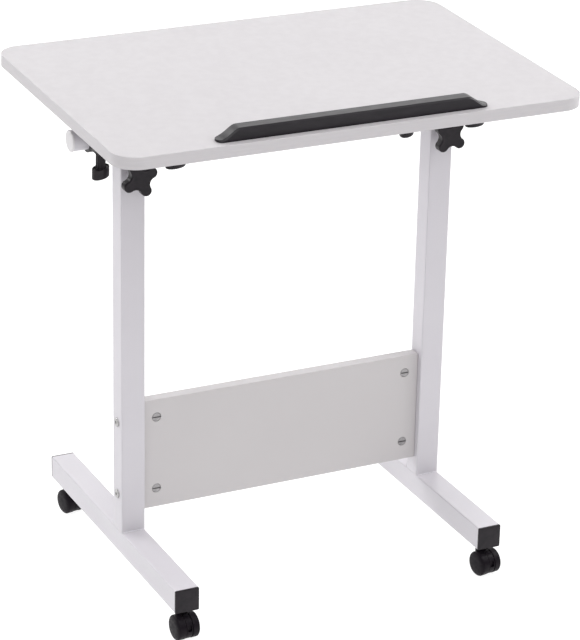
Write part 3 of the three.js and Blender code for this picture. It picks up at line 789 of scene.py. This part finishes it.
def strap_outline():
    """Side view of a strap, which passes under the crossbar and hooks behind the bracket."""
    high = -CLAMP_GAP / 2
    lip = math.asin(-high / groove_radius)
    hook_front = BRACKET_REAR + SEAT_GAP
    hook_rear = hook_front + STRAP_HOOK
    return [
        (-bracket_front, high),
        (-bracket_front, -STRAP_EAR),
        *arc(strap_radius, math.pi + strap_turn, 2 * math.pi - strap_turn),
        (hook_rear, -STRAP_EAR),
        (hook_rear, STRAP_HOOK_HEIGHT),
        (hook_front, STRAP_HOOK_HEIGHT),
        (hook_front, high),
        *arc(groove_radius, -lip, -math.pi + lip),
    ]


def clamp_knob(turn):
    """Fluted neck with an oval cup for a head, hung from the strap's underside, and the stud above it."""
    steps = NECK_FLUTE_STEPS * NECK_FLUTES
    neck = circle(NECK_RADIUS, steps, NECK_FLUTES, NECK_FLUTE_DEPTH)
    stud = circle(STUD_RADIUS, steps)

    def oval(inset):
        points = []
        for x, y in circle(1.0, steps):
            along = x * (CLAMP_HEAD_LENGTH / 2 - inset)
            aside = y * (CLAMP_HEAD_WIDTH / 2 - inset)
            turned_x = along * math.cos(turn) - aside * math.sin(turn)
            turned_y = along * math.sin(turn) + aside * math.cos(turn)
            points.append((turned_x, turned_y))
        return points

    head_top = -NECK_LENGTH
    head_low = head_top - CLAMP_HEAD_HEIGHT
    stud_top = STRAP_EAR + CLAMP_GAP / 2 + STUD_GRIP
    rows = [at_height(stud, stud_top), at_height(stud, -SEAT_GAP), at_height(neck, -SEAT_GAP)]
    flare_top = head_top - CLAMP_HEAD_RECESS + NECK_FLARE_HEIGHT
    for share in NECK_FLARE_SHARES:
        reach = NECK_RADIUS + NECK_FLARE * share ** NECK_FLARE_POWER
        fluted = circle(reach, steps, NECK_FLUTES, NECK_FLUTE_DEPTH)
        rows.append(at_height(fluted, flare_top - NECK_FLARE_HEIGHT * share))
    rows.append(at_height(oval(CLAMP_HEAD_RIM), head_top - CLAMP_HEAD_RECESS))
    rim = arris(CLAMP_HEAD_RIM / 2)
    rows += [at_height(oval(CLAMP_HEAD_RIM - inset), head_top - rise) for inset, rise in rim]
    rows += [at_height(oval(inset), head_top - rise) for inset, rise in reversed(rim)]
    rows += [at_height(oval(inset), head_low + rise) for inset, rise in arris(CLAMP_HEAD_ARRIS)]
    return loft(rows)


def screw_head():
    """Pan head with a cross recess, pointing down."""
    edge = SCREW_HEIGHT * SCREW_ARRIS_SHARE
    head = slab(lambda inset: circle(SCREW_RADIUS - inset), -SCREW_HEIGHT, 0.0, edge)
    length = SCREW_RADIUS * SLOT_LENGTH_SHARE
    width = SCREW_RADIUS * SLOT_WIDTH_SHARE
    slots = []
    for turn in (0, math.pi / 2):
        slot = bmesh.new()
        place = Matrix.Translation((0, 0, -SCREW_HEIGHT)) @ Matrix.Rotation(turn, 4, "Z")
        size = Matrix.Diagonal((length, width, SCREW_HEIGHT, 1))
        bmesh.ops.create_cube(slot, size=1.0, matrix=place @ size)
        slots.append(slot)
    return cut(head, slots)


def clamp_body(outline):
    """A clamp's bracket or strap, with the hole for the stud."""
    foot = Matrix.Translation((0, -stud_y, -2 * STRAP_EAR))
    length = 2 * STRAP_EAR + CLAMP_GAP / 2 + STUD_GRIP + SEAT_GAP
    return cut(side_profile(outline, CLAMP_WIDTH), [rod(STUD_RADIUS + SEAT_GAP, length, foot)])


def make_clamps():
    bracket = clamp_body(bracket_outline())
    strap = clamp_body(strap_outline())
    screw = screw_head()
    flange = BRACKET_HEIGHT - BRACKET_FLANGE
    screw_places = [-bracket_front - BRACKET_FLANGE_REACH / 2, BRACKET_REAR + BRACKET_FLANGE_REACH / 2]
    black = materials["black_plastic"]
    for name, turn in CLAMP_HEAD_TURNS.items():
        x = middle("clamp_bracket_" + name).x
        place = top_place @ Matrix.Translation((x, 0, 0))
        round_edges(stand_for("clamp_bracket_" + name, bracket, black, place), CLAMP_ARRIS)
        round_edges(stand_for("clamp_strap_" + name, strap, black, place), CLAMP_ARRIS)
        knob_place = place @ Matrix.Translation((0, -stud_y, -STRAP_EAR))
        stand_for("clamp_knob_" + name, clamp_knob(math.radians(turn)), black, knob_place)
        for end, y in zip(("front", "rear"), screw_places):
            screw_place = place @ Matrix.Translation((0, y, flange))
            label = f"bracket_screw_{name}_{end}"
            add_on(label, screw, materials["zinc"], "clamp_bracket_" + name, screw_place)


# Crossbar and sliding tubes

def make_crossbar():
    half = span("crossbar").x / 2
    outer = circle(BAR_RADIUS)
    inner = circle(BAR_RADIUS - BAR_WALL)
    rows = [at_height(inner, -half), at_height(outer, -half), at_height(outer, half), at_height(inner, half)]
    place = Matrix.Translation(middle("crossbar")) @ along_x
    stand_for("crossbar", loft(rows, ring=True), materials["white_paint"], place)


def crossbar_cap():
    """Cap with a finely ribbed rim. Its outer face is at height 0 and points down."""
    rim = BAR_RADIUS + CAP_RIM
    steps = CAP_RIB_STEPS * CAP_RIBS
    face = rim - CAP_ARRIS
    plug = circle(BAR_RADIUS - BAR_WALL - SEAT_GAP, steps)
    rows = [at_height(circle(face * share, steps), CAP_CROWN * share ** 2) for share in CAP_FACE_SHARES]
    for inset, rise in reversed(arris(CAP_ARRIS)):
        rows.append(at_height(circle(rim - inset, steps, CAP_RIBS, CAP_RIB_DEPTH), CAP_CROWN + rise))
    rows.append(at_height(circle(rim, steps, CAP_RIBS, CAP_RIB_DEPTH), CAP_THICKNESS))
    rows.append(at_height(plug, CAP_THICKNESS))
    rows.append(at_height(plug, CAP_THICKNESS + CAP_PLUG))
    return loft(rows)


def make_crossbar_caps():
    for side, sign in (("left", -1), ("right", 1)):
        node = "crossbar_cap_" + side
        outer = high_corner(node) if sign > 0 else low_corner(node)
        face = Vector((outer.x, middle(node).y, middle(node).z))
        turn = Matrix.Rotation(-sign * math.pi / 2, 4, "Y")
        stand_for(node, crossbar_cap(), materials["white_plastic"], Matrix.Translation(face) @ turn)


def bead(start, end, radius):
    """A weld bead along a line, tapered at both ends."""
    start = Vector(start)
    way = Vector(end) - start
    turn = way.to_track_quat("Z", "Y").to_matrix().to_4x4()
    rows = []
    for share in BEAD_SHARES:
        fullness = min(min(share, 1 - share) / BEAD_TAPER_SHARE, 1)
        reach = radius * (BEAD_TIP_SHARE + (1 - BEAD_TIP_SHARE) * math.sqrt(fullness))
        spot = Matrix.Translation(start + way * share) @ turn
        rows.append([tuple(spot @ Vector(point)) for point in at_height(circle(reach, BEAD_STEPS), 0.0)])
    return loft(rows)


def make_sliding_tubes():
    bar_z = middle("crossbar").z
    for side in ("left", "right"):
        node = "inner_tube_" + side
        size = span(node)
        spot = middle(node)
        radius = TUBE_CORNER_RADIUS - SLEEVE_WALL
        foot = low_corner(node).z
        tube = box_tube(size.x, size.y, radius, UPRIGHT_WALL, foot, bar_z - BAR_RADIUS / 2)
        stand_for(node, tube, materials["white_paint"], Matrix.Translation((spot.x, spot.y, 0)))
        for end, sign in (("front", -1), ("rear", 1)):
            y = spot.y + sign * size.y / 2
            z = bar_z - math.sqrt(BAR_RADIUS ** 2 - (size.y / 2) ** 2)
            half = size.x / 2 - TUBE_CORNER_RADIUS / 2
            label = f"crossbar_weld_{end}_{side}"
            line = bead((spot.x - half, y, z), (spot.x + half, y, z), BAR_WELD_RADIUS)
            add_on(label, line, weld, node)


# Uprights

def make_upright(side):
    node = "upright_" + side
    low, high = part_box(node)
    size = span(node)
    spot = middle(node)
    tube = box_tube(size.x, size.y, TUBE_CORNER_RADIUS, UPRIGHT_WALL, low.z, high.z)
    holes = []
    for level in ("lower", "upper"):
        height = middle(f"panel_bolt_{level}_{side}").z
        across = Matrix.Translation((-size.x, 0, height)) @ along_x
        holes.append(rod(BOLT_RADIUS + SEAT_GAP, 2 * size.x, across))
    knob_hole = Matrix.Translation((0, 0, middle("knob_boss_" + side).z)) @ to_front
    holes.append(rod(HEIGHT_STUD_RADIUS + SEAT_GAP, size.y, knob_hole))
    place = Matrix.Translation((spot.x, spot.y, 0))
    stand_for(node, cut(tube, holes), materials["white_paint"], place)
    for end, sign in (("front", -1), ("rear", 1)):
        y = spot.y + sign * size.y / 2
        half = size.x / 2 - TUBE_CORNER_RADIUS / 2
        line = bead((spot.x - half, y, low.z), (spot.x + half, y, low.z), WELD_RADIUS)
        add_on(f"upright_weld_{end}_{side}", line, weld, node)


def make_sleeve(side):
    node = "guide_sleeve_" + side
    low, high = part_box(node)
    size = span(node)
    spot = middle(node)
    outer_inset = UPRIGHT_WALL + SLIDE_GAP
    inner_inset = outer_inset + SLEEVE_WALL

    def outline(inset, corner_inset):
        return rounded(size.x - 2 * inset, size.y - 2 * inset, TUBE_CORNER_RADIUS - corner_inset)

    hole = outline(inner_inset, inner_inset / 2)
    skirt = outline(outer_inset, outer_inset / 2)
    seat = high.z - SLEEVE_FLANGE
    rows = [at_height(hole, low.z), at_height(skirt, low.z), at_height(skirt, seat)]
    rows.append(at_height(outline(0, 0), seat))
    rows += [at_height(outline(inset, 0), high.z - rise) for inset, rise in arris(SLEEVE_ARRIS)]
    rows.append(at_height(hole, high.z))
    place = Matrix.Translation((spot.x, spot.y, 0))
    stand_for(node, loft(rows, ring=True), materials["black_plastic"], place)


def make_boss(side):
    node = "knob_boss_" + side
    radius = span(node).x / 2
    length = span(node).y
    bore = circle(HEIGHT_STUD_RADIUS + SEAT_GAP)
    rows = [at_height(bore, 0.0), at_height(circle(radius), 0.0)]
    rows += [at_height(circle(radius - inset), length - rise) for inset, rise in arris(BOSS_ARRIS)]
    rows.append(at_height(bore, length))
    spot = (middle(node).x, high_corner(node).y, middle(node).z)
    stand_for(node, loft(rows, ring=True), materials["white_paint"], Matrix.Translation(spot) @ to_front)


def height_knob(hub_length, stud_length, turn):
    """Lobed head with a hub and a stud, drawn from the stud's end up to the head's face."""
    steps = 2 * STAR_ARC_STEPS * STAR_LOBES
    hub_low = stud_length
    head_low = stud_length + hub_length
    head_high = head_low + HEIGHT_HEAD_THICKNESS
    stud = circle(HEIGHT_STUD_RADIUS, steps)
    hub = circle(HEIGHT_HUB_RADIUS, steps)
    rows = [at_height(stud, 0.0), at_height(stud, hub_low), at_height(hub, hub_low), at_height(hub, head_low)]
    rim = arris(HEIGHT_HEAD_ARRIS)
    rows += [at_height(star(HEIGHT_HEAD, inset, turn), head_low + rise) for inset, rise in reversed(rim)]
    rows += [at_height(star(HEIGHT_HEAD, inset, turn), head_high - rise) for inset, rise in rim]
    rows.append(at_height(star(HEIGHT_HEAD, HEIGHT_DISH_RIM, turn), head_high))
    rows.append(at_height(star(HEIGHT_HEAD, HEIGHT_DISH_INSET, turn), head_high - HEIGHT_DISH_DEPTH))
    return loft(rows)


def make_height_knob(side, turn):
    node = "height_knob_" + side
    low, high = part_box(node)
    pivot = Vector(joints["height_knob_turn_" + side]["pos_m"])
    stud_length = high.y - pivot.y + SEAT_GAP
    hub_length = pivot.y - SEAT_GAP - low.y - HEIGHT_HEAD_THICKNESS
    place = Matrix.Translation((pivot.x, high.y, pivot.z)) @ to_front
    knob = height_knob(hub_length, stud_length, turn)
    stand_for(node, knob, materials["black_plastic"], place)


# Foot bars

def make_foot_bar(side):
    node = "foot_bar_" + side
    low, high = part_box(node)
    size = span(node)
    spot = middle(node)
    bar = box_tube(size.x, size.z, TUBE_CORNER_RADIUS, FOOT_WALL, 0.0, size.y)
    place = Matrix.Translation((spot.x, high.y, spot.z)) @ to_front
    bmesh.ops.transform(bar, matrix=place, verts=bar.verts)
    holes = []
    for end in ("front", "rear"):
        stem = joints[f"swivel_turn_{end}_{side}"]["pos_m"]
        under = Matrix.Translation((stem[0], stem[1], low.z - size.z / 4))
        holes.append(rod(STEM_RADIUS + SEAT_GAP, size.z / 2, under))
    stand_for(node, cut(bar, holes), materials["white_paint"])
    for end, sign in (("front", 1), ("rear", -1)):
        make_foot_cap(f"foot_cap_{end}_{side}", size, sign)


def make_foot_cap(node, size, sign):
    """Cap with a slightly crowned face and a plug, drawn with its face up."""
    low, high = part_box(node)
    spot = middle(node)
    margin = 2 * (FOOT_WALL + SEAT_GAP)
    plug = rounded(size.x - margin, size.z - margin, TUBE_CORNER_RADIUS - FOOT_WALL)
    face = FOOT_CAP - FOOT_CAP_CROWN

    def outline(inset):
        return rounded(size.x - 2 * inset, size.z - 2 * inset, TUBE_CORNER_RADIUS)

    rows = [at_height(plug, FOOT_CAP - span(node).y), at_height(plug, 0.0), at_height(outline(0.0), 0.0)]
    rows += [at_height(outline(inset), face - rise) for inset, rise in arris(FOOT_CAP_ARRIS)]
    for share in FOOT_CROWN_SHARES:
        crown = FOOT_CAP_CROWN * math.sin(share / FOOT_CROWN_SHARES[-1] * math.pi / 2)
        rows.append(at_height(outline(size.x * share), face + crown))
    turn = to_front if sign > 0 else Matrix.Rotation(-math.pi / 2, 4, "X")
    y = low.y + FOOT_CAP if sign > 0 else high.y - FOOT_CAP
    stand_for(node, loft(rows), materials["black_plastic"], Matrix.Translation((spot.x, y, spot.z)) @ turn)


# Lower panel and its bolts

def make_panel():
    node = "lower_panel"
    size = span(node)
    spot = middle(node)

    def outline(inset):
        return rounded(size.x - 2 * inset, size.z - 2 * inset, PANEL_ARRIS, PANEL_CORNER_STEPS)

    board = slab(outline, 0.0, size.y, PANEL_ARRIS / 2)
    place = Matrix.Translation((spot.x, high_corner(node).y, spot.z)) @ to_front
    bmesh.ops.transform(board, matrix=place, verts=board.verts)
    pockets = []
    for level in ("lower", "upper"):
        for side in ("left", "right"):
            nut = f"barrel_nut_{level}_{side}"
            back = (middle(nut).x, high_corner(nut).y + SEAT_GAP, middle(nut).z)
            place = Matrix.Translation(back) @ to_front
            pockets.append(rod(BARREL_RADIUS + SEAT_GAP, 2 * size.y, place))
    stand_for(node, cut(board, pockets), panel_laminate)


def bolt(length):
    """Pan-headed bolt with a hexagon socket, its head up and the head's underside at height 0."""
    rows = [at_height(circle(BOLT_RADIUS), -length), at_height(circle(BOLT_RADIUS), 0.0)]
    rows.append(at_height(circle(BOLT_HEAD_RADIUS), 0.0))
    for inset, rise in arris(BOLT_HEAD_HEIGHT * BOLT_ARRIS_SHARE):
        rows.append(at_height(circle(BOLT_HEAD_RADIUS - inset), BOLT_HEAD_HEIGHT - rise))
    hexagon = circle(BOLT_SOCKET_RADIUS, HEXAGON_SIDES)
    bottom = BOLT_HEAD_HEIGHT - BOLT_SOCKET_DEPTH
    socket = loft([at_height(hexagon, bottom), at_height(hexagon, bottom + BOLT_HEAD_HEIGHT)])
    return cut(loft(rows), [socket])


def make_barrel(node):
    """Cross dowel that lies front to back: a slot in its front face, and a cross hole for the bolt."""
    length = span(node).y
    spot = (middle(node).x, high_corner(node).y, middle(node).z)
    barrel = slab(lambda inset: circle(BARREL_RADIUS - inset), 0.0, length, BARREL_ARRIS)
    across = Matrix.Translation((-2 * BARREL_RADIUS, 0, length / 2)) @ along_x
    cross_hole = rod(BOLT_RADIUS + SEAT_GAP, 4 * BARREL_RADIUS, across)
    slot = bmesh.new()
    reach = Matrix.Diagonal((4 * BARREL_RADIUS, BARREL_SLOT_WIDTH, 2 * BARREL_SLOT_DEPTH, 1))
    bmesh.ops.create_cube(slot, size=1.0, matrix=Matrix.Translation((0, 0, length)) @ reach)
    place = Matrix.Translation(spot) @ to_front
    stand_for(node, cut(barrel, [cross_hole, slot]), dull_zinc, place)


def make_bolts():
    for side, sign in (("left", -1), ("right", 1)):
        for level in ("lower", "upper"):
            node = f"panel_bolt_{level}_{side}"
            outer = high_corner(node) if sign > 0 else low_corner(node)
            spot = (outer.x - sign * BOLT_HEAD_HEIGHT, middle(node).y, middle(node).z)
            turn = Matrix.Rotation(sign * math.pi / 2, 4, "Y")
            mesh = bolt(span(node).x - BOLT_HEAD_HEIGHT)
            stand_for(node, mesh, materials["zinc"], Matrix.Translation(spot) @ turn)
            make_barrel(f"barrel_nut_{level}_{side}")


# Casters

def wheel(width):
    """Half of a barrel: a tread that rounds over into a domed face. Its inner face is at height 0."""
    rows = [at_height(circle(WHEEL_HUB_SHARE * WHEEL_RADIUS), 0.0)]
    rim = reversed(arris(WHEEL_INNER_ARRIS))
    rows += [at_height(circle(WHEEL_RADIUS - inset), rise) for inset, rise in rim]
    crown_foot = width - WHEEL_FACE_CROWN
    for inset, rise in arris(1.0, WHEEL_DOME_STEPS):
        radius = WHEEL_RADIUS - WHEEL_DOME_DROP * inset
        rows.append(at_height(circle(radius), crown_foot - WHEEL_DOME_WIDTH * rise))
    face = WHEEL_RADIUS - WHEEL_DOME_DROP
    for share in WHEEL_FACE_SHARES:
        rows.append(at_height(circle(face * share), crown_foot + WHEEL_FACE_CROWN * (1 - share ** 2)))
    return loft(rows)


def rounded_box(width, depth, height, radius):
    """A box about the origin whose corners are round in its X and Z view."""
    outline = rounded(width, height, radius)
    mesh = loft([at_height(outline, -depth / 2), at_height(outline, depth / 2)])
    bmesh.ops.transform(mesh, matrix=to_front, verts=mesh.verts)
    return mesh


def caster_web(radius, centre):
    """The disc between the wheels."""
    web = slab(lambda inset: circle(radius - inset), -WEB_WIDTH / 2, WEB_WIDTH / 2, WEB_ARRIS)
    bmesh.ops.transform(web, matrix=centre @ along_x, verts=web.verts)
    return web


def caster_pocket(front):
    """What is taken out of the web in front, centred on its rim."""
    pocket = rounded_box(POCKET_WIDTH, 2 * POCKET_INSET, POCKET_HEIGHT, POCKET_CORNER)
    bmesh.ops.transform(pocket, matrix=Matrix.Translation(front), verts=pocket.verts)
    return pocket


def across_hub(radius, length, centre):
    """A rod along the axle, with its middle on the web's."""
    return rod(radius, length, centre @ Matrix.Translation((-length / 2, 0, 0)) @ along_x)


def make_hood(name):
    """A caster's body: web with a pocket in front, collar and stem, drawn on the swivel's axis."""
    swivel = Vector(joints["swivel_turn_" + name]["pos_m"])
    axis = Vector(joints[f"wheel_spin_{name}_a"]["axis"])
    hub = Vector(joints[f"wheel_spin_{name}_a"]["pos_m"])
    turn = math.atan2(axis.y, axis.x)
    trail = Vector((hub.x - swivel.x, hub.y - swivel.y)).length
    web_radius = WHEEL_RADIUS - WEB_RECESS
    centre = Matrix.Translation((0, -trail, WHEEL_RADIUS))
    upwards = Matrix.Translation((0, 0, WHEEL_RADIUS))
    collar = rod(COLLAR_RADIUS, swivel.z - SEAT_GAP - WHEEL_RADIUS, upwards)
    room = across_hub(WHEEL_RADIUS + WHEEL_ROOM, WHEEL_ROOM_WIDTH, centre)
    stem = rod(STEM_RADIUS, swivel.z + STEM_LENGTH - WHEEL_RADIUS, upwards)
    pocket = caster_pocket((0, -trail - web_radius, WHEEL_RADIUS + POCKET_RAISE))
    bore = across_hub(AXLE_RADIUS + AXLE_GAP, AXLE_BORE_LENGTH, centre)
    body = combined(collar, room, "DIFFERENCE")
    body = combined(body, stem, "UNION")
    body = combined(body, caster_web(web_radius, centre), "UNION")
    data = cut(body, [pocket, bore])
    place = Matrix.Translation((swivel.x, swivel.y, 0)) @ Matrix.Rotation(turn, 4, "Z")
    stand_for("caster_hood_" + name, data, materials["black_nylon"], place)


def make_wheel(name):
    """One wheel, as wide as its node and on the same side of the web."""
    node = "caster_wheel_" + name
    axis = Vector(joints["wheel_spin_" + name]["axis"])
    hub = Vector(joints["wheel_spin_" + name]["pos_m"])
    outward = axis if (middle(node) - hub).dot(axis) > 0 else -axis
    places = [(vertex.co - hub).dot(outward) for vertex in frame["nodes"][node].data.vertices]
    turn = outward.to_track_quat("Z", "Y").to_matrix().to_4x4()
    place = Matrix.Translation(hub + outward * min(places)) @ turn
    stand_for(node, wheel(max(places) - min(places)), materials["black_nylon"], place)


def plate_axle(name):
    data = frame["nodes"]["caster_axle_" + name].data
    data.materials.clear()
    data.materials.append(materials["zinc"])


def make_casters():
    for end in ("front", "rear"):
        for side in ("left", "right"):
            name = f"{end}_{side}"
            make_hood(name)
            make_wheel(name + "_a")
            make_wheel(name + "_b")
            plate_axle(name)


# Studio

def studio_object(name, corners, faces, glow):
    """A plain pale surface of the studio, which glows softly."""
    data = bpy.data.meshes.new(name)
    data.from_pydata(corners, [], faces)
    piece = bpy.data.objects.new(name, data)
    bpy.context.scene.collection.objects.link(piece)
    usual, least, most = STUDIO_ROUGHNESS
    material, shader = new_material("studio " + name, STUDIO_COLOUR, usual)
    roughen(material, shader, noise(material, *STUDIO_NOISE), least, most)
    shader.inputs["Emission Color"].default_value = STUDIO_LIGHT_COLOUR
    shader.inputs["Emission Strength"].default_value = glow
    data.materials.append(material)
    return piece


def make_floor():
    signs = ((-1, -1), (1, -1), (1, 1), (-1, 1))
    corners = [(x * FLOOR_REACH, y * FLOOR_REACH, 0) for x, y in signs]
    floor = studio_object("floor", corners, [(0, 1, 2, 3)], FLOOR_GLOW)


def make_backdrop():
    """A round wall behind the floor. Only the camera sees it, so it lights nothing."""
    corners = []
    walls = []
    for side, (x, y) in enumerate(circle(BACKDROP_REACH, BACKDROP_SIDES)):
        corners += [(x, y, 0), (x, y, BACKDROP_HEIGHT)]
        foot = 2 * side
        next_foot = 2 * ((side + 1) % BACKDROP_SIDES)
        walls.append((foot, next_foot, next_foot + 1, foot + 1))
    backdrop = studio_object("backdrop", corners, walls, BACKDROP_GLOW)
    backdrop.visible_diffuse = False
    backdrop.visible_glossy = False
    backdrop.visible_transmission = False
    backdrop.visible_shadow = False


def make_light(name, place, size, power):
    """A square softbox that faces the middle of the desk and never shows itself."""
    light = bpy.data.lights.new(name, "AREA")
    light.shape = "SQUARE"
    light.size = size
    light.energy = power
    lamp = bpy.data.objects.new(name, light)
    bpy.context.scene.collection.objects.link(lamp)
    lamp.location = place
    toward_desk = Vector((0, 0, STUDIO_TARGET_HEIGHT)) - Vector(place)
    lamp.rotation_euler = toward_desk.to_track_quat("-Z", "Y").to_euler()
    lamp.visible_camera = False


def make_world():
    """Soft light from all around, weaker from above."""
    world = bpy.data.worlds.new("studio")
    bpy.context.scene.world = world
    world.use_nodes = True
    nodes = world.node_tree.nodes
    links = world.node_tree.links
    direction = nodes.new("ShaderNodeTexCoord")
    split = nodes.new("ShaderNodeSeparateXYZ")
    fade = nodes.new("ShaderNodeMapRange")
    fade.interpolation_type = "SMOOTHSTEP"
    fade.inputs["From Min"].default_value = HORIZON_RISE
    fade.inputs["From Max"].default_value = ZENITH_RISE
    fade.inputs["To Min"].default_value = HORIZON_STRENGTH
    fade.inputs["To Max"].default_value = ZENITH_STRENGTH
    links.new(direction.outputs["Generated"], split.inputs["Vector"])
    links.new(split.outputs["Z"], fade.inputs["Value"])
    links.new(fade.outputs["Result"], nodes["Background"].inputs["Strength"])
    nodes["Background"].inputs["Color"].default_value = STUDIO_LIGHT_COLOUR


def make_lights():
    for name, (place, size, power) in SOFTBOXES.items():
        make_light(name, place, size, power)


def make_camera():
    data = bpy.data.cameras.new("camera")
    data.sensor_width = SENSOR_MM
    data.lens = FOCAL_PIXELS * SENSOR_MM / FRAME_PIXELS
    camera = bpy.data.objects.new("camera", data)
    bpy.context.scene.collection.objects.link(camera)
    forward = Vector((
        math.sin(CAMERA_YAW) * math.cos(CAMERA_PITCH),
        math.cos(CAMERA_YAW) * math.cos(CAMERA_PITCH),
        -math.sin(CAMERA_PITCH),
    ))
    level = Vector((math.cos(CAMERA_YAW), -math.sin(CAMERA_YAW), 0))
    upright = level.cross(forward)
    right = level * math.cos(CAMERA_ROLL) + upright * math.sin(CAMERA_ROLL)
    up = upright * math.cos(CAMERA_ROLL) - level * math.sin(CAMERA_ROLL)
    turn = Matrix((right, up, -forward)).transposed().to_4x4()
    camera.matrix_world = Matrix.Translation(CAMERA_PLACE) @ turn
    bpy.context.scene.camera = camera


make_camera()
make_floor()
make_backdrop()
make_world()
make_lights()
make_board()
make_edge_band()
make_stopper()
make_clamps()
make_crossbar()
make_crossbar_caps()
make_sliding_tubes()
for side, turn in (("left", LEFT_KNOB_TURN), ("right", RIGHT_KNOB_TURN)):
    make_upright(side)
    make_sleeve(side)
    make_boss(side)
    make_height_knob(side, turn)
    make_foot_bar(side)
make_panel()
make_bolts()
make_casters()

bpy.context.scene.view_settings.view_transform = "Standard"
